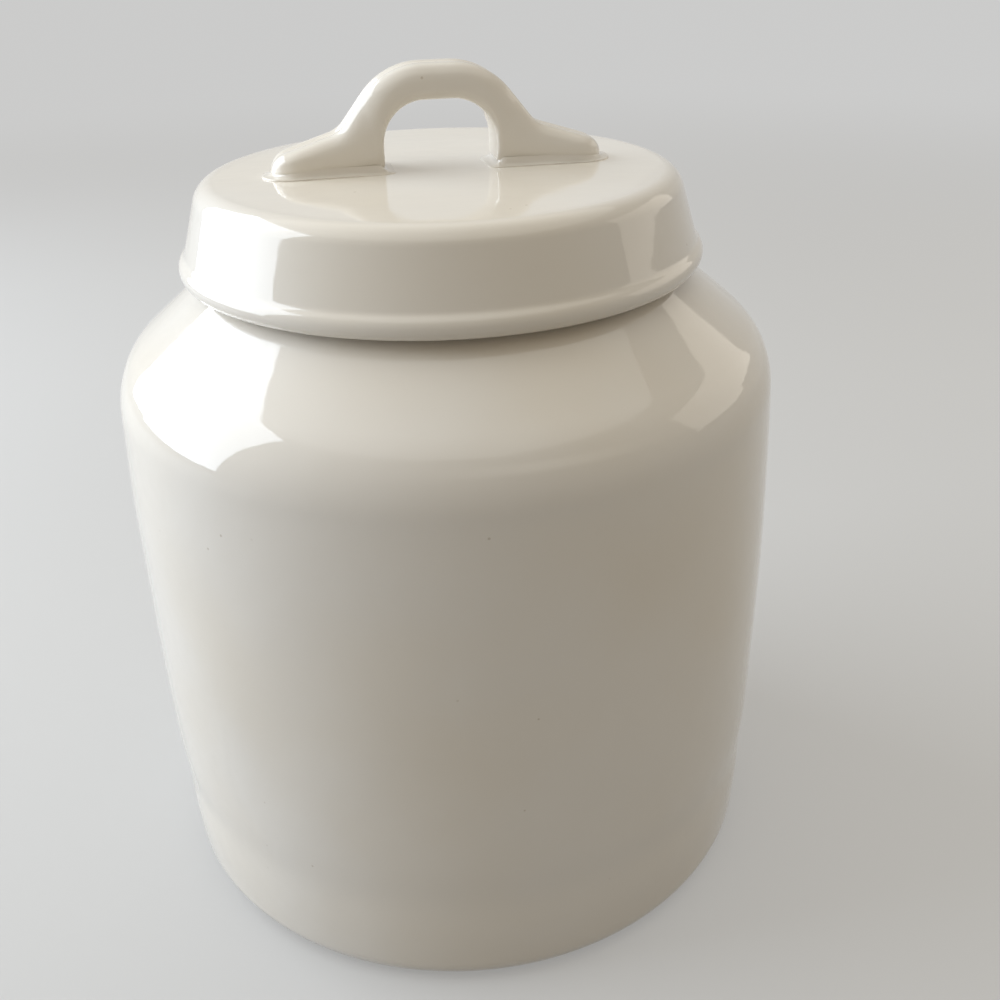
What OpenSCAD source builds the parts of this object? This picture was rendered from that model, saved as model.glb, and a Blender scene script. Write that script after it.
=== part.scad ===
// Cookie canister: a stoneware jar with a loose cap lid and a strap handle.
// The origin is the centre of the base, and the jar's axis is Z.

/* [Jar] */
// Largest outside diameter of the jar, at mid height
body_d = 178; // [150:1:220]
// Height at which the side ends and the shoulder starts
side_h = 143; // [100:1:200]
// How far the side swells between base and shoulder
barrel = 1.7; // [0.5:0.1:4]
// Radius of the rounding at the base
base_r = 8; // [5:0.5:14]
// Radius of the shoulder's rounding
shoulder_r = 22; // [14:1:28]
// Slope of the shoulder above its rounding, in degrees
shoulder_slope = 40; // [32:1:48]
// Thickness of the jar's wall
wall = 5.5; // [4:0.25:8]
// Thickness of the floor
floor_t = 7; // [5:0.5:10]
// Radius of the rounding inside, between floor and wall
floor_r = 12; // [6:1:20]
// Width of the foot ring that the jar stands on
foot_w = 8; // [4:0.5:14]
// Depth of the recess inside the foot ring
foot_recess = 2; // [1:0.25:3]

/* [Neck] */
// Outside diameter of the neck collar
neck_d = 114; // [100:1:124]
// Thickness of the neck collar
neck_wall = 5; // [4:0.25:7]
// Height of the collar above the shoulder's slope
neck_h = 14.4; // [11:0.2:22]
// Radius of the fillet between shoulder and collar
neck_fillet = 5; // [2:0.5:6]
// Radius of the rounding on the rim's edges
rim_r = 1.5; // [0.5:0.25:1.75]

/* [Lid] */
// Clearance between the skirt and the collar, all round
lid_clearance = 1.6; // [1:0.1:2.5]
// Clearance between the lid's lower edge and the shoulder
lid_gap = 1.3; // [0.8:0.1:2.5]
// Thickness of the lid's top
lid_t = 5.2; // [4:0.2:7]
// Thickness of the skirt
skirt_wall = 3.75; // [3:0.05:5]
// How far the skirt spreads towards its lower edge, in degrees
skirt_flare = 17; // [10:1:20]
// Radius of the rounding at the top's edge
edge_r = 5.6; // [4:0.1:7]
// Radius of the rolled bead at the lower edge
bead_r = 3.1; // [2.6:0.1:3.8]
// How far the bead stands out from the skirt
bead_out = 0.9; // [0.5:0.05:1.5]
// Radius of the hollow between the skirt and the bead
bead_hollow_r = 3; // [1.5:0.25:5]

/* [Handle] */
// Length of the handle over its two feet
handle_l = 84; // [76:1:96]
// Width of the strap
strap_w = 14; // [12:0.5:18]
// Thickness of the strap
strap_t = 8.3; // [6:0.1:10]
// Width of the finger opening
finger_w = 28; // [25:0.5:34]
// Height of the finger opening above the lid
finger_h = 17; // [15:0.5:24]
// Radius of the finger opening's upper corners
finger_r = 10.5; // [8:0.5:12]
// Slope of the arch's flanks, in degrees
flank_slope = 51; // [46:1:56]
// Radius of the hollow where a flank runs out into a foot
foot_hollow_r = 8; // [4:0.5:10]
// Slope of the top of each foot, in degrees
foot_slope = 17; // [10:1:20]
// Height above the lid at the tip of each foot, before its rounding
foot_h = 6.3; // [5:0.1:7.5]
// Length of the rounding at the tip of each foot
tip_l = 5.5; // [4:0.25:6.5]
// Radius of the strap's outer edges
strap_edge_r = 4; // [2.5:0.1:4.2]
// Radius of the strap's inner edges over the finger opening
grip_edge_r = 2.4; // [1:0.1:3]
// Width of the groove along the strap's outer face
groove_w = 5.6; // [3:0.2:6]
// Depth of the groove along the strap's outer face
groove_t = 0.6; // [0.2:0.1:1]
// Thickness of the slip under each foot
slip_t = 0.8; // [0.5:0.1:1.4]
// How far the slip is squeezed out around each foot
slip_out = 1.5; // [0.8:0.1:2.5]

/* [Hidden] */
$fn = 96;

GLAZE = [0.92, 0.90, 0.85];
SLIP = [0.88, 0.86, 0.80];

// Side: a shallow curve between the base's rounding and the shoulder's
body_r = body_d / 2;
side_end_r = body_r - barrel;
side_lean = atan(4 * barrel / (side_h - base_r));
side_start_z = base_r * (1 - sin(side_lean));
base_c = [side_end_r - base_r * cos(side_lean), base_r];

// Shoulder: a rounding that runs out into a straight slope
shoulder_c = [side_end_r - shoulder_r * cos(side_lean), side_h - shoulder_r * sin(side_lean)];
slope_n = [sin(shoulder_slope), cos(shoulder_slope)];
slope_start = shoulder_c + shoulder_r * slope_n;

// Height of the shoulder's slope at radius r, or of its inner face with an inset
function slope_z(r, inset = 0) =
    let (p = slope_start - inset * slope_n) p.y + (p.x - r) * tan(shoulder_slope);

// Neck collar
neck_r = neck_d / 2;
mouth_r = neck_r - neck_wall;
neck_foot_z = slope_z(neck_r);
rim_z = neck_foot_z + neck_h;
fillet_lift = neck_fillet * tan((90 - shoulder_slope) / 2);
fillet_c = [neck_r + neck_fillet, neck_foot_z + fillet_lift];

// Lid: its underside rests on the rim, its skirt spreads downwards and its bead hangs clear of the shoulder.
// Faces and centres of the skirt are placed by their distance out from the corner under the top.
lid_top_z = rim_z + lid_t;
corner_c = [neck_r, rim_z - lid_clearance];
skirt_n = [cos(skirt_flare), sin(skirt_flare)];
skirt_up = [-sin(skirt_flare), cos(skirt_flare)];
skirt_out = lid_clearance + skirt_wall;
edge_z = lid_top_z - edge_r;
edge_c = [corner_c.x + (skirt_out - edge_r - skirt_n.y * (edge_z - corner_c.y)) / skirt_n.x, edge_z];
bead_in = skirt_out + bead_out - bead_r;
bead_lift = (bead_r + lid_gap) / cos(shoulder_slope);
bead_c_r = (bead_in + skirt_n * corner_c - skirt_n.y * (slope_z(0) + bead_lift))
    / (skirt_n.x - skirt_n.y * tan(shoulder_slope));
bead_c = [bead_c_r, slope_z(bead_c_r) + bead_lift];
// The bead starts where the skirt's inner face runs into it, and ends tangent to the hollow above it
bead_start = skirt_flare - acos((lid_clearance - bead_in) / bead_r);
hollow_n = bead_hollow_r + bead_r - bead_out;
hollow_up = sqrt(pow(bead_hollow_r + bead_r, 2) - hollow_n * hollow_n);
bead_hollow_c = bead_c + hollow_n * skirt_n + hollow_up * skirt_up;
bead_end = skirt_flare + atan2(hollow_up, hollow_n);

// Handle: a strap of one section, bent over the finger opening and out into the feet
strap_z = lid_top_z + slip_t;
arch_c = [finger_w / 2 - finger_r, lid_top_z + finger_h - finger_r];
arch_out_r = finger_r + strap_t;
flank_start = arch_c + arch_out_r * [sin(flank_slope), cos(flank_slope)];
// Each foot ends in a quarter of an ellipse, and its sloping top is tangent to that
tip_c = [handle_l / 2 - tip_l, strap_z];
tip_r = [tip_l, foot_h - slip_t];
tip_start = atan2(tip_r.y, tip_r.x * tan(foot_slope));
tip_top = tip_c + [tip_r.x * cos(tip_start), tip_r.y * sin(tip_start)];
// The flank and the foot's top would meet at the knee, and the hollow rounds it
knee_x = (flank_start.y + tan(flank_slope) * flank_start.x - tip_top.y - tan(foot_slope) * tip_top.x)
    / (tan(flank_slope) - tan(foot_slope));
knee = [knee_x, tip_top.y + tan(foot_slope) * (tip_top.x - knee_x)];
hollow_l = foot_hollow_r * tan((flank_slope - foot_slope) / 2);
foot_start = knee + hollow_l * [cos(foot_slope), -sin(foot_slope)];
foot_hollow_c = foot_start + foot_hollow_r * [sin(foot_slope), cos(foot_slope)];
foot_end_c = handle_l / 2 - strap_w / 2;
leg_corner_r = 1.2;
sole_edge_r = 0.8;

// Points along an arc, or along an ellipse when the radius is a pair
function arc(c, r, from, to, n = 10) =
    let (rx = is_list(r) ? r.x : r, ry = is_list(r) ? r.y : r)
    [for (i = [0:n]) let (a = from + (to - from) * i / n) c + [rx * cos(a), ry * sin(a)]];

// A list without its first item
function rest(list) = [for (i = [1:len(list) - 1]) list[i]];

// Points up the jar's side, set in from its outer face
function side(inset, from_z, to_z, n = 14) =
    let (mid = (base_r + side_h) / 2, half = (side_h - base_r) / 2)
    [for (i = [0:n]) let (z = from_z + (to_z - from_z) * i / n)
        [body_r - inset - barrel * pow((z - mid) / half, 2), z]];

function side_r(inset, z) = side(inset, z, z, 1)[0].x;

// Outline of the strap where it is w wide and t thick: width across X, thickness up Y,
// with rounded edges and a groove along the outer face. Its inner edges are rounder higher up the arch.
function strap_outline(w, t, inner_z) =
    let (climb = (inner_z - strap_z) / (finger_h - slip_t),
         inner_r = sole_edge_r + (grip_edge_r - sole_edge_r) * min(1, 2 * climb),
         outer = min(strap_edge_r, 0.45 * w, 0.5 * t), inner = min(inner_r, 0.45 * w, 0.3 * t),
         gw = groove_w * w / strap_w, gt = groove_t * w / strap_w)
    concat(
        arc([w / 2 - inner, inner], inner, -90, 0, 3),
        arc([w / 2 - outer, t - outer], outer, 0, 90, 5),
        [for (i = [1:7]) let (x = gw * (0.5 - i / 8)) [x, t - gt * pow(cos(180 * x / gw), 2)]],
        arc([outer - w / 2, t - outer], outer, 90, 180, 5),
        arc([inner - w / 2, inner], inner, 180, 270, 3));

// Half of the strap from the crown to the tip of a foot, as stations of [outer point, inner point, width].
// Points are [X, Z] in the handle's plane.
function strap_stations() =
    let (crown_z = lid_top_z + finger_h,
         corner_x = finger_w / 2 + leg_corner_r,
         outer = concat(
             arc(arch_c, arch_out_r, 90, 90 - flank_slope, 8),
             arc(foot_hollow_c, foot_hollow_r, 270 - flank_slope, 270 - foot_slope, 6)),
         inner = concat(
             arc(arch_c, finger_r, 90, 0, 8),
             [[finger_w / 2, (arch_c.y + strap_z) / 2]],
             arc([corner_x, strap_z + leg_corner_r], leg_corner_r, 180, 270, 3),
             [for (i = [1:2]) [corner_x + (foot_start.x - corner_x) * i / 2, strap_z]]),
         foot = concat(
             [for (i = [1:2]) foot_start + (tip_top - foot_start) * i / 3],
             arc(tip_c, tip_r, tip_start, 10, 6)))
    concat(
        [[[0, crown_z + strap_t], [0, crown_z], strap_w]],
        [for (i = [0:len(outer) - 1]) [outer[i], inner[i], strap_w]],
        [for (p = foot) [p, [p.x, strap_z], foot_width(p.x)]]);

// Width of a foot at x, which narrows round its tip
function foot_width(x) =
    let (over = max(0, x - foot_end_c)) 2 * sqrt(pow(strap_w / 2, 2) - over * over);

// Ring of points round the strap at one station, on the right or, with side -1, on the left
function strap_ring(station, side) =
    let (out = station[0], in = station[1], t = norm(out - in), n = (out - in) / t)
    [for (p = strap_outline(station[2], t, in.y)) let (q = in + n * p.y) [side * q.x, p.x, q.y]];

module jar_body() {
    foot_out_r = base_c.x;
    foot_in_r = foot_out_r - foot_w;
    floor_c_z = floor_t + floor_r;
    floor_c = [side_r(wall, floor_c_z) - floor_r, floor_c_z];
    inner_slope_end = [mouth_r, slope_z(mouth_r, wall)];
    color(GLAZE) rotate_extrude() polygon(concat(
        [[0, foot_recess], [foot_in_r - foot_recess, foot_recess], [foot_in_r, 0]],
        arc(base_c, base_r, -90, -side_lean),
        rest(side(0, side_start_z, side_h)),
        rest(arc(shoulder_c, shoulder_r, side_lean, 90 - shoulder_slope)),
        arc(fillet_c, neck_fillet, 270 - shoulder_slope, 180, 6),
        arc([neck_r - rim_r, rim_z - rim_r], rim_r, 0, 90, 5),
        arc([mouth_r + rim_r, rim_z - rim_r], rim_r, 90, 180, 5),
        [inner_slope_end],
        arc(shoulder_c, shoulder_r - wall, 90 - shoulder_slope, side_lean),
        rest(side(wall, side_h, floor_c_z)),
        rest(arc(floor_c, floor_r, 0, -90)),
        [[0, floor_t]]));
}

module lid_cap() {
    color(GLAZE) rotate_extrude() polygon(concat(
        [[0, rim_z]],
        arc(corner_c, lid_clearance, 90, skirt_flare, 5),
        arc(bead_c, bead_r, bead_start, bead_end, 14),
        rest(arc(bead_hollow_c, bead_hollow_r, 180 + bead_end, 180 + skirt_flare, 4)),
        arc(edge_c, edge_r, skirt_flare, 90, 8),
        [[0, lid_top_z]]));
}

// The strap is one skin over the rings of its stations, from the left foot's tip to the right one's
module lid_handle() {
    half = strap_stations();
    last = len(half) - 1;
    rings = concat([for (i = [last:-1:1]) strap_ring(half[i], -1)], [for (s = half) strap_ring(s, 1)]);
    m = len(rings[0]);
    color(GLAZE) polyhedron(
        points = [for (ring = rings) each ring],
        faces = concat(
            [for (i = [0:len(rings) - 2], j = [0:m - 1]) let (k = (j + 1) % m, a = i * m, b = a + m)
                each [[a + j, a + k, b + k], [a + j, b + k, b + j]]],
            [[for (j = [m - 1:-1:0]) j], [for (j = [0:m - 1]) (len(rings) - 1) * m + j]]));
}

// Pad of slip under one foot, squeezed out round the foot's outline
module slip_joint() {
    half_w = strap_w / 2 + slip_out;
    start = finger_w / 2 - slip_out;
    color(SLIP) translate([0, 0, lid_top_z]) linear_extrude(slip_t)
        polygon(concat([[start, half_w], [start, -half_w]],
            arc([foot_end_c, 0], half_w, -90, 90, 24)));
}

module slip_joint_left() { mirror([1, 0, 0]) slip_joint(); }
module slip_joint_right() { slip_joint(); }

jar_body();
lid_cap();
lid_handle();
slip_joint_left();
slip_joint_right();
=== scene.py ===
"""Looks of the stoneware cookie canister: a thrown jar, a cap lid, a strap handle and its slip joints."""

import math

import bmesh
import bpy
from mathutils import Matrix, Vector


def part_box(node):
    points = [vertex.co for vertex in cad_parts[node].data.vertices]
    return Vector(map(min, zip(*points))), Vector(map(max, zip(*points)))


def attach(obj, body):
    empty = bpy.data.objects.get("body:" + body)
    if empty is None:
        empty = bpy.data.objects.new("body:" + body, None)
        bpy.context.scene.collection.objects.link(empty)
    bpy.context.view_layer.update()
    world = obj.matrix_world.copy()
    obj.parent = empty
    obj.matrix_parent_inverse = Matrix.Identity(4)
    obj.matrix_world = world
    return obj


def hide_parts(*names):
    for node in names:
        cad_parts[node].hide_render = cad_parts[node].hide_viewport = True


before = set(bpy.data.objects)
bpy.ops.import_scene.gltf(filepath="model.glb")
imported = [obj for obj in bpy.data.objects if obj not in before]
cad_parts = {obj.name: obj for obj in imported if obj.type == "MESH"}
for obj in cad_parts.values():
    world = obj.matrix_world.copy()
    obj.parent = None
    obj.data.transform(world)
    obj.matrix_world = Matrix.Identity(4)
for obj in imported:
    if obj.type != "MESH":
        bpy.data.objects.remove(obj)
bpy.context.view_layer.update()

# Sizes, in metres
MM = 0.001

# Jar
BODY_R = 89.0 * MM
SIDE_TOP = 143.0 * MM
BARREL = 1.7 * MM
BASE_R = 8.0 * MM
SHOULDER_R = 22.0 * MM
SHOULDER_SLOPE = math.radians(40)
WALL = 5.5 * MM
FLOOR_TOP = 7.0 * MM
FLOOR_R = 12.0 * MM
FOOT_W = 8.0 * MM
FOOT_RECESS = 2.0 * MM
FOOT_EDGE_R = 0.7 * MM
THROWING_DENT = 0.55 * MM
THROWING_DENT_Z = 30.0 * MM
THROWING_DENT_W = 8.0 * MM

# Neck collar
NECK_R = 57.0 * MM
MOUTH_R = 52.0 * MM
MOUTH_FILLET = 3.0 * MM
MOUTH_RING_UP = 2.0 * MM
NECK_FILLET = 5.0 * MM
RIM_R = 1.5 * MM
RIM_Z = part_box("jar_body")[1].z

# Lid
LID_CLEARANCE = 1.6 * MM
LID_GAP = 1.3 * MM
LID_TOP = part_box("lid_cap")[1].z
LID_CROWN = 0.4 * MM
SKIRT_WALL = 3.75 * MM
SKIRT_FLARE = math.radians(17)
EDGE_R = 5.6 * MM
BEAD_R = 3.1 * MM
BEAD_OUT = 0.9 * MM
BEAD_HOLLOW_R = 3.0 * MM

# Handle
HANDLE_TIP = 42.0 * MM
STRAP_W = 14.0 * MM
STRAP_T = 8.3 * MM
FINGER_HALF_W = 14.0 * MM
FINGER_H = 17.0 * MM
FINGER_R = 10.5 * MM
LEG_CORNER_R = 1.5 * MM
FLANK_SLOPE = math.radians(51)
FOOT_HOLLOW_R = 8.0 * MM
FOOT_SLOPE = math.radians(17)
FOOT_H = 6.3 * MM
TIP_L = 5.5 * MM
STRAP_EDGE_R = 4.0 * MM
GRIP_EDGE_R = 2.6 * MM
GROOVE_W = 5.9 * MM
GROOVE_T = 0.7 * MM

# Slip that holds the handle's feet
SLIP_T = 0.8 * MM
SLIP_OUT_AT_ENDS = 2.4 * MM
SLIP_OUT_AT_SIDES = 0.7 * MM
SLIP_IN_AT_ENDS = 0.7 * MM
SLIP_IN_AT_SIDES = 0.15 * MM
SLIP_CORNER_R = 2.0 * MM
SLIP_BURIED = 0.4 * MM
SLIP_LIP = 0.3 * MM
SLIP_LEDGE = 0.6 * MM
SLIP_CLIMB = 2.6 * MM
SLIP_TUCK = 0.8 * MM

# Hand work: how far a surface swells, and the length of a swell
JAR_WOBBLE = 0.7 * MM
JAR_SWELL_L = 60.0 * MM
LID_WOBBLE = 0.16 * MM
LID_SWELL_L = 45.0 * MM
SLIP_WOBBLE = 0.7 * MM
SLIP_SWELL_L = 6.0 * MM

# Mesh fineness
TURNS = 240
MERGE_WITHIN = 0.005 * MM


# Outlines, as lists of (radius, height) points

def arc(centre, radius, start, end, steps):
    """Points along an arc; a pair of radii makes it part of an ellipse. Angles are in degrees."""
    rx, rz = radius if isinstance(radius, tuple) else (radius, radius)
    angles = [math.radians(start + (end - start) * i / steps) for i in range(steps + 1)]
    return [(centre[0] + rx * math.cos(a), centre[1] + rz * math.sin(a)) for a in angles]


def evenly(points, count):
    """The given number of points spread evenly along a line of points."""
    marks = [0.0]
    for before, after in zip(points, points[1:]):
        marks.append(marks[-1] + math.dist(before, after))
    spread = []
    piece = 0
    for i in range(count):
        mark = marks[-1] * i / (count - 1)
        while piece < len(points) - 2 and marks[piece + 1] < mark:
            piece += 1
        (x0, z0), (x1, z1) = points[piece], points[piece + 1]
        t = (mark - marks[piece]) / (marks[piece + 1] - marks[piece])
        spread.append((x0 + (x1 - x0) * t, z0 + (z1 - z0) * t))
    return spread


def side_radius(z):
    """Radius of the jar's swelling side, with the shallow dent left near the foot."""
    middle = (BASE_R + SIDE_TOP) / 2
    half = (SIDE_TOP - BASE_R) / 2
    dent = THROWING_DENT * math.exp(-((z - THROWING_DENT_Z) / THROWING_DENT_W) ** 2)
    return BODY_R - BARREL * ((z - middle) / half) ** 2 - dent


def side(low, high, inset, steps):
    """The jar's side between two heights, or its inner face."""
    heights = [low + (high - low) * i / steps for i in range(steps + 1)]
    return [(side_radius(z) - inset, z) for z in heights]


SIDE_LEAN = math.atan(4 * BARREL / (SIDE_TOP - BASE_R))
SIDE_END_R = BODY_R - BARREL
BASE_C = (SIDE_END_R - BASE_R * math.cos(SIDE_LEAN), BASE_R)
SHOULDER_C = (SIDE_END_R - SHOULDER_R * math.cos(SIDE_LEAN), SIDE_TOP - SHOULDER_R * math.sin(SIDE_LEAN))
SLOPE_NORMAL = (math.sin(SHOULDER_SLOPE), math.cos(SHOULDER_SLOPE))


def slope_height(radius, inset=0.0):
    """Height of the shoulder's straight slope, or of its inner face."""
    start_r = SHOULDER_C[0] + (SHOULDER_R - inset) * SLOPE_NORMAL[0]
    start_z = SHOULDER_C[1] + (SHOULDER_R - inset) * SLOPE_NORMAL[1]
    return start_z + (start_r - radius) * math.tan(SHOULDER_SLOPE)


def jar_outline():
    """From the middle of the base, up the outside, over the rim and down to the middle of the floor."""
    lean = math.degrees(SIDE_LEAN)
    slope = math.degrees(SHOULDER_SLOPE)
    foot_in = BASE_C[0] - FOOT_W
    slope_end = NECK_R + 2 * NECK_FILLET
    fillet_z = slope_height(NECK_R) + NECK_FILLET * math.tan((math.pi / 2 - SHOULDER_SLOPE) / 2)
    mouth_z = slope_height(MOUTH_R, WALL)
    floor_z = FLOOR_TOP + FLOOR_R
    floor_c = (side_radius(floor_z) - WALL - FLOOR_R, floor_z)
    return (
        [(0, FOOT_RECESS), (foot_in * 0.5, FOOT_RECESS)]
        + arc((foot_in - FOOT_RECESS, 0), FOOT_RECESS, 90, 20, 6)
        + arc((foot_in + FOOT_EDGE_R, FOOT_EDGE_R), FOOT_EDGE_R, 190, 270, 4)
        + [(foot_in + FOOT_W * 0.5, 0)]
        + arc(BASE_C, BASE_R, -90, -lean, 14)
        + side(BASE_R, SIDE_TOP, 0, 64)[1:]
        + arc(SHOULDER_C, SHOULDER_R, lean, 90 - slope, 18)[1:]
        + [(slope_end, slope_height(slope_end))]
        + arc((NECK_R + NECK_FILLET, fillet_z), NECK_FILLET, 270 - slope, 180, 8)
        + arc((NECK_R - RIM_R, RIM_Z - RIM_R), RIM_R, 0, 90, 6)
        + arc((MOUTH_R + RIM_R, RIM_Z - RIM_R), RIM_R, 90, 180, 6)
        + [(MOUTH_R, mouth_z + MOUTH_RING_UP)]
        + arc((MOUTH_R + MOUTH_FILLET, mouth_z), MOUTH_FILLET, 180, 270 - slope, 5)
        + arc(SHOULDER_C, SHOULDER_R - WALL, 90 - slope, lean, 12)
        + side(SIDE_TOP, floor_z, WALL, 24)[1:]
        + arc(floor_c, FLOOR_R, 0, -90, 10)[1:]
        + [(floor_c[0] * 0.5, FLOOR_TOP), (0, FLOOR_TOP)]
    )


# The lid's skirt spreads downwards; its faces are placed by their distance out from the corner under the top
SKIRT_N = (math.cos(SKIRT_FLARE), math.sin(SKIRT_FLARE))
CORNER_C = (NECK_R, RIM_Z - LID_CLEARANCE)
SKIRT_OUT = LID_CLEARANCE + SKIRT_WALL
BEAD_IN = SKIRT_OUT + BEAD_OUT - BEAD_R


def bead_centre():
    """Where the bead sits in the skirt and hangs clear of the shoulder."""
    lift = (BEAD_R + LID_GAP) / math.cos(SHOULDER_SLOPE)
    reach = BEAD_IN + SKIRT_N[0] * CORNER_C[0] + SKIRT_N[1] * (CORNER_C[1] - slope_height(0) - lift)
    radius = reach / (SKIRT_N[0] - SKIRT_N[1] * math.tan(SHOULDER_SLOPE))
    return (radius, slope_height(radius) + lift)


def lid_outline():
    """From the middle of the underside, down inside the skirt, round the bead and up to the crowned top."""
    flare = math.degrees(SKIRT_FLARE)
    bead_c = bead_centre()
    bead_start = flare - math.degrees(math.acos((LID_CLEARANCE - BEAD_IN) / BEAD_R))
    hollow_n = BEAD_HOLLOW_R + BEAD_R - BEAD_OUT
    hollow_up = math.sqrt((BEAD_HOLLOW_R + BEAD_R) ** 2 - hollow_n ** 2)
    hollow_c = (bead_c[0] + hollow_n * SKIRT_N[0] - hollow_up * SKIRT_N[1],
                bead_c[1] + hollow_n * SKIRT_N[1] + hollow_up * SKIRT_N[0])
    bead_end = flare + math.degrees(math.atan2(hollow_up, hollow_n))
    edge_z = LID_TOP - EDGE_R
    plateau = CORNER_C[0] + (SKIRT_OUT - EDGE_R - SKIRT_N[1] * (edge_z - CORNER_C[1])) / SKIRT_N[0]
    crown_steps = 14
    crown = [plateau * (1 - i / crown_steps) for i in range(1, crown_steps + 1)]
    bead = arc(bead_c, BEAD_R, bead_start, bead_end, 26)
    seat = arc(CORNER_C, LID_CLEARANCE, 90, flare, 5)
    hollow = arc(hollow_c, BEAD_HOLLOW_R, 180 + bead_end, 180 + flare, 8)[1:]
    edge = arc((plateau, edge_z), EDGE_R, flare, 90, 20)
    return (
        [(0, RIM_Z), (NECK_R * 0.5, RIM_Z)]
        + seat
        + evenly([seat[-1], bead[0]], 8)[1:-1]
        + bead
        + hollow
        + evenly([hollow[-1], edge[0]], 12)[1:-1]
        + edge
        + [(r, LID_TOP + LID_CROWN * (1 - (r / plateau) ** 2)) for r in crown]
    )


# Modelling

def start_point(name):
    """A new piece in edit mode, down to one selected vertex at the origin."""
    bpy.ops.object.select_all(action="DESELECT")
    bpy.ops.mesh.primitive_plane_add(size=MM)
    piece = bpy.context.object
    piece.name = piece.data.name = name
    bpy.ops.object.mode_set(mode="EDIT")
    bpy.ops.mesh.select_all(action="SELECT")
    bpy.ops.mesh.merge(type="CENTER")
    return piece


def draw_line(name, points):
    """A new piece in edit mode, drawn point by point as one line and selected all over."""
    piece = start_point(name)
    bpy.ops.transform.translate(value=points[0])
    for before, after in zip(points, points[1:]):
        step = tuple(new - old for old, new in zip(before, after))
        bpy.ops.mesh.extrude_region_move(TRANSFORM_OT_translate={"value": step})
    bpy.ops.mesh.select_all(action="SELECT")
    return piece


def close_piece():
    """Turns the faces outwards, leaves edit mode and smooths the shading."""
    bpy.ops.mesh.select_all(action="SELECT")
    bpy.ops.mesh.normals_make_consistent(inside=False)
    bpy.ops.object.mode_set(mode="OBJECT")
    bpy.ops.object.shade_smooth()


def turn_on_wheel(name, outline):
    """Spins an outline round the jar's axis."""
    piece = draw_line(name, [(r, 0, z) for r, z in outline])
    bpy.ops.mesh.spin(steps=TURNS, angle=math.tau, center=(0, 0, 0), axis=(0, 0, 1))
    bpy.ops.mesh.select_all(action="SELECT")
    bpy.ops.mesh.remove_doubles(threshold=MERGE_WITHIN)
    close_piece()
    return piece


def hand_wobble(piece, amount, length, keep_clear):
    """Small uneven swells left by hand work; keep_clear(point) is 0 where a fit has to stay true."""
    group = piece.vertex_groups.new(name="wobble")
    for vertex in piece.data.vertices:
        group.add([vertex.index], keep_clear(vertex.co), "REPLACE")
    texture = bpy.data.textures.new(piece.name + "_wobble", "CLOUDS")
    texture.noise_scale = length
    texture.noise_depth = 1
    modifier = piece.modifiers.new("wobble", "DISPLACE")
    modifier.texture = texture
    modifier.texture_coords = "LOCAL"
    modifier.strength = amount
    modifier.mid_level = 0.5
    modifier.vertex_group = group.name
    bpy.context.view_layer.objects.active = piece
    bpy.ops.object.modifier_apply(modifier=modifier.name)


def smooth_step(low, high, x):
    """0 below low, 1 above high, smooth between."""
    t = min(1.0, max(0.0, (x - low) / (high - low)))
    return t * t * (3 - 2 * t)


def jar_free(point):
    """1 on the jar's outer side, 0 at the foot, at the neck and inside."""
    radius = math.hypot(point.x, point.y)
    outside = smooth_step(side_radius(point.z) - WALL * 0.6, side_radius(point.z) - WALL * 0.3, radius)
    if point.z > SIDE_TOP:
        outside = 1.0 if point.z > slope_height(radius) - WALL * 0.4 else 0.0
    above_foot = smooth_step(0.5 * MM, 14 * MM, point.z)
    below_neck = 1 - smooth_step(SIDE_TOP + 14 * MM, RIM_Z - 24 * MM, point.z)
    return outside * above_foot * below_neck


def lid_free(point):
    """1 on the lid's outer face above the bead, 0 inside and where the handle stands."""
    above_seat = smooth_step(RIM_Z + 1 * MM, RIM_Z + 4 * MM, point.z)
    past_handle = smooth_step(HANDLE_TIP + 2 * MM, HANDLE_TIP + 10 * MM, math.hypot(point.x, point.y))
    return above_seat * past_handle


def make_jar():
    jar = turn_on_wheel("jar", jar_outline())
    hand_wobble(jar, JAR_WOBBLE, JAR_SWELL_L, jar_free)
    return jar


def make_lid():
    lid = turn_on_wheel("lid", lid_outline())
    hand_wobble(lid, LID_WOBBLE, LID_SWELL_L, lid_free)
    return lid


# Handle: stations along the strap, each with its outer point, inner point and width

STRAP_Z = LID_TOP + SLIP_T
ARCH_C = (FINGER_HALF_W - FINGER_R, LID_TOP + FINGER_H - FINGER_R)
ARCH_OUT_R = FINGER_R + STRAP_T
TIP_C = (HANDLE_TIP - TIP_L, STRAP_Z)
TIP_R = (TIP_L, FOOT_H - SLIP_T)
TIP_START = math.atan2(TIP_R[1], TIP_R[0] * math.tan(FOOT_SLOPE))
TIP_TOP = (TIP_C[0] + TIP_R[0] * math.cos(TIP_START), TIP_C[1] + TIP_R[1] * math.sin(TIP_START))
FOOT_END = HANDLE_TIP - STRAP_W / 2


def foot_start():
    """Point where the hollow under the flank runs out into the sloping top of the foot."""
    flank, slope = math.tan(FLANK_SLOPE), math.tan(FOOT_SLOPE)
    flank_x = ARCH_C[0] + ARCH_OUT_R * math.sin(FLANK_SLOPE)
    flank_z = ARCH_C[1] + ARCH_OUT_R * math.cos(FLANK_SLOPE)
    knee_x = (flank_z + flank * flank_x - TIP_TOP[1] - slope * TIP_TOP[0]) / (flank - slope)
    knee_z = TIP_TOP[1] + slope * (TIP_TOP[0] - knee_x)
    length = FOOT_HOLLOW_R * math.tan((FLANK_SLOPE - FOOT_SLOPE) / 2)
    return (knee_x + length * math.cos(FOOT_SLOPE), knee_z - length * math.sin(FOOT_SLOPE))


def foot_width(x):
    """Width of a foot, which narrows round its tip."""
    over = max(0.0, x - FOOT_END)
    return 2 * math.sqrt((STRAP_W / 2) ** 2 - over ** 2)


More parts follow.
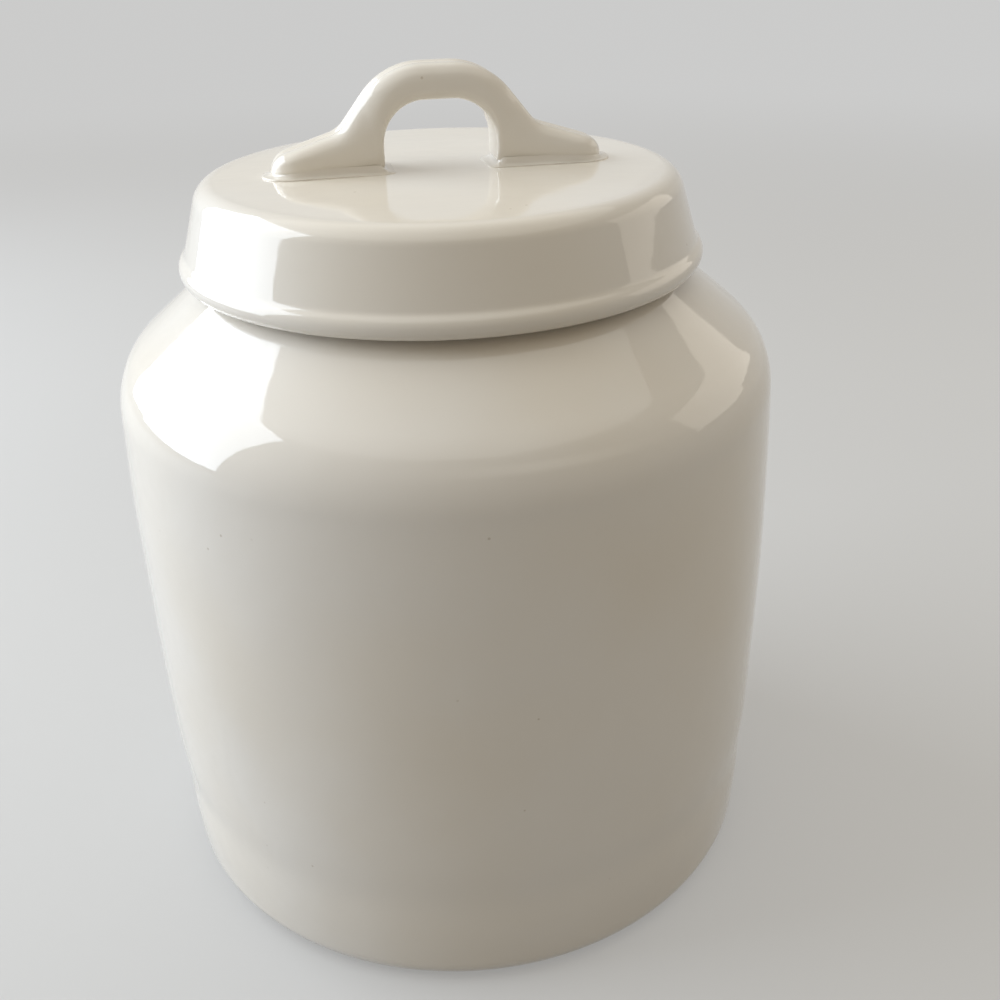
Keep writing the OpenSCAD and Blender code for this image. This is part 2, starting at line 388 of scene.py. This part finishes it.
def half_strap_stations():
    """From the crown to the tip of a foot, in the handle's own plane."""
    flank, slope = math.degrees(FLANK_SLOPE), math.degrees(FOOT_SLOPE)
    foot_x, foot_z = foot_start()
    hollow_c = (foot_x + FOOT_HOLLOW_R * math.sin(FOOT_SLOPE), foot_z + FOOT_HOLLOW_R * math.cos(FOOT_SLOPE))
    corner_c = (FINGER_HALF_W + LEG_CORNER_R, STRAP_Z + LEG_CORNER_R)
    crown_z = LID_TOP + FINGER_H
    outer = [(0, crown_z + STRAP_T)] + arc(ARCH_C, ARCH_OUT_R, 90, 90 - flank, 30)
    outer += arc(hollow_c, FOOT_HOLLOW_R, 270 - flank, 270 - slope, 16)
    inner = [(0, crown_z)] + arc(ARCH_C, FINGER_R, 90, 0, 30)
    inner += arc(corner_c, LEG_CORNER_R, 180, 270, 6) + [(foot_x, STRAP_Z)]
    count = 60
    stations = [(out, into, STRAP_W) for out, into in zip(evenly(outer, count), evenly(inner, count))]
    foot = evenly([(foot_x, foot_z), TIP_TOP], 10)[1:]
    foot += arc(TIP_C, TIP_R, math.degrees(TIP_START), 4, 14)[1:]
    stations += [((x, z), (x, STRAP_Z), foot_width(x)) for x, z in foot]
    return stations


def strap_section():
    """Outline of the strap at full width: inner face at 0, rounded edges, a groove on the outer face."""
    half = STRAP_W / 2
    inner, outer = GRIP_EDGE_R, STRAP_EDGE_R
    right = arc((half - inner, inner), inner, -90, 0, 8)
    right += arc((half - outer, STRAP_T - outer), outer, 0, 90, 12)
    left = [(-x, y) for x, y in reversed(right)]
    groove = []
    groove_steps = 14
    for i in range(1, groove_steps):
        x = GROOVE_W * (0.5 - i / groove_steps)
        groove.append((x, STRAP_T - GROOVE_T * math.cos(math.pi * x / GROOVE_W) ** 2))
    return right + groove + left


def station_frame(station):
    """Matrix from the strap's full section to this station: across, along the thickness, and place."""
    (ox, oz), (ix, iz), width = station
    thick = math.hypot(ox - ix, oz - iz)
    across = Vector((0, width / STRAP_W, 0))
    up = Vector(((ox - ix) / STRAP_T, 0, (oz - iz) / STRAP_T))
    along = Vector((0, 1, 0)).cross(Vector((ox - ix, 0, oz - iz)) / thick)
    turn = Matrix((along, across, up)).transposed().to_4x4()
    return Matrix.Translation((ix, 0, iz)) @ turn


def move_selected(piece, matrix):
    """Places the selected end of the strap, which may narrow and lean at once."""
    mesh = bmesh.from_edit_mesh(piece.data)
    for vertex in mesh.verts:
        if vertex.select:
            vertex.co = matrix @ vertex.co
    bmesh.update_edit_mesh(piece.data)


def make_handle():
    half = half_strap_stations()
    mirrored = [((-o[0], o[1]), (-i[0], i[1]), w) for o, i, w in reversed(half[1:])]
    frames = [station_frame(station) for station in mirrored + half]
    piece = draw_line("handle", [(0, x, y) for x, y in strap_section()])
    bpy.ops.mesh.edge_face_add()
    move_selected(piece, frames[0])
    for before, after in zip(frames, frames[1:]):
        bpy.ops.mesh.extrude_region_move()
        move_selected(piece, after @ before.inverted())
    close_piece()
    return piece


# Slip joints: a low pad round each foot that rises into it as a small fillet

def tongue_outline():
    """Plan of a foot: square end under the arch, round tip."""
    half_w = STRAP_W / 2
    corner = SLIP_CORNER_R
    start = FINGER_HALF_W + corner
    outline = arc((FOOT_END, 0), half_w, -90, 90, 40)
    outline += evenly([(FOOT_END, half_w), (start, half_w)], 14)[1:-1]
    outline += arc((start, half_w - corner), corner, 90, 180, 8)
    outline += arc((start, corner - half_w), corner, 180, 270, 8)
    outline += evenly([(start, -half_w), (FOOT_END, -half_w)], 14)[1:-1]
    return outline


def slip_profile():
    """From the buried edge, over the lip and up the foot: (share of the way out, height over the lid)."""
    lip = arc((0.85, SLIP_LIP), (0.15, SLIP_LIP), 0, 75, 4)
    climb = arc((0.8, SLIP_CLIMB), (0.8, SLIP_CLIMB - SLIP_LEDGE), 265, 182, 10)
    return [(1.0, -SLIP_BURIED)] + lip + climb + [(0.0, SLIP_CLIMB)]


def slip_free(point):
    """1 on the slip's squeezed-out edge, 0 where it climbs the foot."""
    return 1 - smooth_step(LID_TOP + SLIP_LEDGE, LID_TOP + 2 * SLIP_LEDGE, point.z)


def make_slip_joint(name, side_sign):
    """Raises the plan of a foot ring by ring along the slip's profile; side_sign is -1 on the left."""
    middle = ((FINGER_HALF_W + HANDLE_TIP) / 2, 0, 0)
    half_l = (HANDLE_TIP - FINGER_HALF_W) / 2
    half_w = STRAP_W / 2
    piece = draw_line(name, [(x, y, LID_TOP - SLIP_BURIED) for x, y in tongue_outline()])
    bpy.ops.mesh.edge_face_add()
    last_l, last_w, last_z = half_l, half_w, -SLIP_BURIED
    for share, z in slip_profile():
        bpy.ops.mesh.extrude_region_move(TRANSFORM_OT_translate={"value": (0, 0, z - last_z)})
        length = half_l - SLIP_IN_AT_ENDS + share * (SLIP_OUT_AT_ENDS + SLIP_IN_AT_ENDS)
        width = half_w - SLIP_IN_AT_SIDES + share * (SLIP_OUT_AT_SIDES + SLIP_IN_AT_SIDES)
        bpy.ops.transform.resize(value=(length / last_l, width / last_w, 1), center_override=middle)
        last_l, last_w, last_z = length, width, z
    bpy.ops.mesh.extrude_region_move(TRANSFORM_OT_translate={"value": (0, 0, 0)})
    tucked = ((last_l - SLIP_TUCK) / last_l, (last_w - SLIP_TUCK) / last_w, 1)
    bpy.ops.transform.resize(value=tucked, center_override=middle)
    bpy.ops.mesh.select_all(action="SELECT")
    if side_sign < 0:
        bpy.ops.transform.resize(value=(-1, 1, 1), center_override=(0, 0, 0))
    close_piece()
    hand_wobble(piece, SLIP_WOBBLE, SLIP_SWELL_L, slip_free)
    return piece


# Materials

class Signal:
    """A socket of a material, with arithmetic that adds Math nodes."""

    def __init__(self, tree, socket):
        self.tree = tree
        self.socket = socket

    def math(self, operation, first, second):
        node = self.tree.nodes.new("ShaderNodeMath")
        node.operation = operation
        feed(self.tree, node.inputs[0], first)
        feed(self.tree, node.inputs[1], second)
        return Signal(self.tree, node.outputs[0])

    def __add__(self, other):
        return self.math("ADD", self, other)

    def __radd__(self, other):
        return self.math("ADD", other, self)

    def __sub__(self, other):
        return self.math("SUBTRACT", self, other)

    def __rsub__(self, other):
        return self.math("SUBTRACT", other, self)

    def __mul__(self, other):
        return self.math("MULTIPLY", self, other)

    def __rmul__(self, other):
        return self.math("MULTIPLY", other, self)

    def __pow__(self, other):
        return self.math("POWER", self, other)

    def either(self, other):
        return self.math("MAXIMUM", self, other)


def feed(tree, socket, value):
    """Links a signal to a socket, or sets the socket's value."""
    if isinstance(value, Signal):
        tree.links.new(value.socket, socket)
    else:
        socket.default_value = value


class Finish:
    """A node tree being built, for a material or the world."""

    def __init__(self, tree):
        self.tree = tree
        tree.nodes.clear()

    def node(self, kind, settings=None, inputs=None, output=0):
        """Adds a node, sets it up and feeds it. Returns one output, or a list for a tuple of names."""
        node = self.tree.nodes.new(kind)
        for key, value in (settings or {}).items():
            setattr(node, key, value)
        for key, value in (inputs or {}).items():
            feed(self.tree, node.inputs[key], value)
        if isinstance(output, tuple):
            return [Signal(self.tree, node.outputs[key]) for key in output]
        return Signal(self.tree, node.outputs[output]) if len(node.outputs) else None

    def object_place(self):
        return self.node("ShaderNodeTexCoord", output="Object")

    def noise(self, place, scale, detail=2.0, roughness=0.5):
        settings = {"noise_dimensions": "3D"}
        inputs = {"Vector": place, "Scale": scale, "Detail": detail, "Roughness": roughness}
        return self.node("ShaderNodeTexNoise", settings, inputs)

    def between(self, value, low, high):
        """0 below low, 1 above high, smooth between."""
        settings = {"interpolation_type": "SMOOTHSTEP"}
        return self.node("ShaderNodeMapRange", settings, {"Value": value, "From Min": low, "From Max": high})

    def mix_colour(self, factor, first, second):
        """Mix's sockets share their names, so its factor, two colours and colour output go by number."""
        return self.node("ShaderNodeMix", {"data_type": "RGBA"}, {0: factor, 6: first, 7: second}, 2)


# Glaze and clay
IVORY = (0.80, 0.755, 0.675, 1)
COOL_WHITE = (0.82, 0.79, 0.735, 1)
SPECK_BROWN = (0.42, 0.34, 0.24, 1)
BARE_CLAY = (0.62, 0.53, 0.41, 1)
BARE_CLAY_PALE = (0.72, 0.65, 0.54, 1)
GLAZE_COAT = 0.25
GLAZE_IOR = 1.52
SKIN_DEPTH = 0.6 * MM
GLAZE_EDGE = 0.2 * MM
GLAZE_EDGE_WAVER = 1.2 * MM


def glaze_colour(build, place):
    """Ivory that drifts slowly in tone, with a few faint iron specks. Returns the colour and the specks."""
    drift = build.noise(place, 14.0, 2.0)
    colour = build.mix_colour(build.between(drift, 0.35, 0.65), IVORY, COOL_WHITE)
    settings = {"feature": "F1"}
    cells = build.node("ShaderNodeTexVoronoi", settings, {"Vector": place, "Scale": 170.0}, "Distance")
    chosen = build.between(build.noise(place, 70.0, 0.0), 0.66, 0.69)
    specks = (1 - build.between(cells, 0.03, 0.075)) * chosen
    return build.mix_colour(specks * 0.45, colour, SPECK_BROWN), specks


def bare_bands(build, place, bands):
    """1 where a surface is left unglazed: bands of (lowest, highest) height inside (least, most) radius."""
    x, y, z = build.node("ShaderNodeSeparateXYZ", None, {0: place}, ("X", "Y", "Z"))
    waver = (build.noise(place, 90.0, 3.0) - 0.5) * GLAZE_EDGE_WAVER
    radius = (x * x + y * y) ** 0.5 + waver
    height = z + waver
    soft = GLAZE_EDGE
    bare = None
    for (low, high), (least, most) in bands:
        band = build.between(height, low - soft, low) * (1 - build.between(height, high, high + soft))
        ring = build.between(radius, least - soft, least) * (1 - build.between(radius, most, most + soft))
        bare = band * ring if bare is None else bare + band * ring
    return bare


def glaze_material(name, bands=()):
    """Glossy ivory glaze with a slightly uneven skin, and matt clay in the bands left bare."""
    material = bpy.data.materials.new(name)
    material.use_nodes = True
    build = Finish(material.node_tree)
    place = build.object_place()
    colour, specks = glaze_colour(build, place)
    smudge = build.noise(place, 38.0, 4.0, 0.6)
    roughness = 0.04 + 0.07 * build.between(smudge, 0.4, 0.75)
    swell = build.noise(place, 55.0, 2.0)
    peel = build.noise(place, 420.0, 1.0)
    height = swell * 0.8 + peel * 0.05 - specks * 0.12
    coat = GLAZE_COAT
    if bands:
        bare = bare_bands(build, place, bands)
        grain = build.noise(place, 900.0, 2.0)
        colour = build.mix_colour(bare, colour, build.mix_colour(grain, BARE_CLAY, BARE_CLAY_PALE))
        roughness = roughness + bare * 0.6
        height = height + bare * grain * 0.4
        coat = GLAZE_COAT * (1 - bare)
    skin = {"Strength": 0.35, "Distance": SKIN_DEPTH, "Height": height}
    bump = build.node("ShaderNodeBump", None, skin, "Normal")
    shader = build.node("ShaderNodeBsdfPrincipled", None, {
        "Base Color": colour, "Roughness": roughness, "Normal": bump, "IOR": GLAZE_IOR,
        "Coat Weight": coat, "Coat Roughness": 0.03})
    build.node("ShaderNodeOutputMaterial", None, {"Surface": shader})
    return material


def seen_directly(build):
    """1 for rays from the camera, and for what gloss and glass mirror or pass on."""
    rays = ("Is Camera Ray", "Is Glossy Ray", "Is Transmission Ray")
    camera, glossy, clear = build.node("ShaderNodeLightPath", output=rays)
    return camera.either(glossy).either(clear)


# Floor and backdrop; the floor fades into the backdrop's tone between two distances from the jar
PALE_GREY = (0.60, 0.60, 0.595, 1)
FLOOR_DARKER = (0.58, 0.58, 0.575, 1)
FLOOR_LIGHTER = (0.62, 0.62, 0.615, 1)
FLOOR_BOUNCE = (0.35, 0.35, 0.35, 1)
FLOOR_FADE_FROM = 0.3
FLOOR_FADE_TO = 1.6
FLOOR_FADE_NEAR = 0.45


def floor_material():
    """Plain pale floor that takes the object's shadow and runs out into the backdrop's own tone."""
    material = bpy.data.materials.new("studio_floor")
    material.use_nodes = True
    build = Finish(material.node_tree)
    place = build.object_place()
    cloud = build.noise(place, 3.0, 3.0)
    pale = build.mix_colour(cloud, FLOOR_DARKER, FLOOR_LIGHTER)
    seen = seen_directly(build)
    colour = build.mix_colour(seen, FLOOR_BOUNCE, pale)
    matt = build.node("ShaderNodeBsdfPrincipled", None, {"Base Color": colour, "Roughness": 0.75})
    even = build.node("ShaderNodeEmission", None, {"Color": PALE_GREY, "Strength": 1.0})
    far = build.node("ShaderNodeVectorMath", {"operation": "LENGTH"}, {0: place}, "Value")
    fade = build.between(far, FLOOR_FADE_FROM, FLOOR_FADE_TO)
    spread = seen * (FLOOR_FADE_NEAR + (1 - FLOOR_FADE_NEAR) * fade)
    floor = build.node("ShaderNodeMixShader", None, {0: spread, 1: matt, 2: even})
    build.node("ShaderNodeOutputMaterial", None, {"Surface": floor})
    return material


def dress(piece, material, body, slot, *nodes):
    piece.data.materials.clear()
    piece.data.materials.append(material)
    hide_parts(*nodes)
    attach(piece, body)


# Left bare: the foot ring, and the rim and the seat in the lid, which would stick together in the kiln
foot_band = ((-1 * MM, 0.7 * MM), (0, BODY_R))
rim_band = ((RIM_Z - 0.3 * MM, RIM_Z + 1 * MM), (MOUTH_R, NECK_R))
seat_band = ((RIM_Z - 0.5 * MM, RIM_Z + 0.3 * MM), (MOUTH_R + 1 * MM, NECK_R - 1 * MM))
jar_glaze = glaze_material("jar_ivory_glaze", [foot_band, rim_band])
lid_glaze = glaze_material("lid_ivory_glaze", [seat_band])
handle_glaze = glaze_material("handle_ivory_glaze")
slip_glaze = glaze_material("slip_ivory_glaze")
dress(make_jar(), jar_glaze, "jar", "jar_glaze", "jar_body")
dress(make_lid(), lid_glaze, "lid", "lid_glaze", "lid_cap")
dress(make_handle(), handle_glaze, "lid", "handle_glaze", "lid_handle")
dress(make_slip_joint("slip_left", -1), slip_glaze, "lid", "slip_glaze", "slip_joint_left")
dress(make_slip_joint("slip_right", 1), slip_glaze, "lid", "slip_glaze", "slip_joint_right")


# Studio, in metres and watts

FLOOR_SIZE = 16
LAMP_AIM = Vector((0, 0, 0.15))
AMBIENT = (0.26, 0.215, 0.16, 1)
COOL_DAYLIGHT = (0.82, 0.90, 1.0)
WARM_DAYLIGHT = (1.0, 0.92, 0.80)
OVERHEAD_WHITE = (1.0, 1.0, 0.93)
OVERHEAD_PLACE = (0.0, 0.0, 1.5)


def make_floor():
    bpy.ops.object.select_all(action="DESELECT")
    bpy.ops.mesh.primitive_plane_add(size=FLOOR_SIZE)
    floor = bpy.context.object
    floor.name = "studio_floor"
    floor.data.materials.append(floor_material())


def softbox(name, place, size, power, colour, shape="RECTANGLE"):
    lamp = bpy.data.lights.new(name, "AREA")
    lamp.shape = shape
    lamp.size, lamp.size_y = size
    lamp.energy = power
    lamp.color = colour
    holder = bpy.data.objects.new(name, lamp)
    holder.location = place
    holder.rotation_mode = "QUATERNION"
    holder.rotation_quaternion = (LAMP_AIM - Vector(place)).to_track_quat("-Z", "Y")
    bpy.context.scene.collection.objects.link(holder)


def light_world(ambient, backdrop):
    """Soft light from all round, and a pale backdrop where it is seen or mirrored."""
    world = bpy.data.worlds.new("studio")
    bpy.context.scene.world = world
    world.use_nodes = True
    build = Finish(world.node_tree)
    colour = build.mix_colour(seen_directly(build), ambient, backdrop)
    background = build.node("ShaderNodeBackground", None, {"Color": colour, "Strength": 1.0})
    build.node("ShaderNodeOutputWorld", None, {"Surface": background})


def make_camera():
    """The photograph's viewpoint: turned round the jar's axis, tipped down, with a slight roll."""
    distance, height = 0.289, 0.255
    azimuth, yaw = math.radians(8.0), math.radians(2.86)
    pitch, roll = math.radians(28.14), math.radians(1.43)
    camera = bpy.data.cameras.new("camera")
    camera.sensor_width = 36.0
    camera.lens = 39.88
    camera.shift_x = -0.004
    camera.clip_start = 0.01
    holder = bpy.data.objects.new("camera", camera)
    place = Vector((-distance * math.sin(azimuth), -distance * math.cos(azimuth), height))
    turn = Matrix.Rotation(-(azimuth + yaw), 4, "Z") @ Matrix.Rotation(math.pi / 2 - pitch, 4, "X")
    holder.matrix_world = Matrix.Translation(place) @ turn @ Matrix.Rotation(-roll, 4, "Z")
    bpy.context.scene.collection.objects.link(holder)
    bpy.context.scene.camera = holder


make_floor()
light_world(AMBIENT, PALE_GREY)
softbox("window_left", (-0.86, 0.35, 0.52), (1.1, 0.95), 16.0, COOL_DAYLIGHT)
softbox("window_right", (0.90, 0.13, 0.43), (0.8, 0.4), 0.8, WARM_DAYLIGHT)
# Overhead: discs one inside another, so that its edge is soft where the glaze mirrors it
for width, power in ((1.6, 4.2), (2.0, 6.2), (2.4, 8.2), (2.8, 10.4)):
    softbox("overhead", OVERHEAD_PLACE, (width, width), power, OVERHEAD_WHITE, "DISK")
make_camera()
bpy.context.scene.view_settings.view_transform = "Standard"
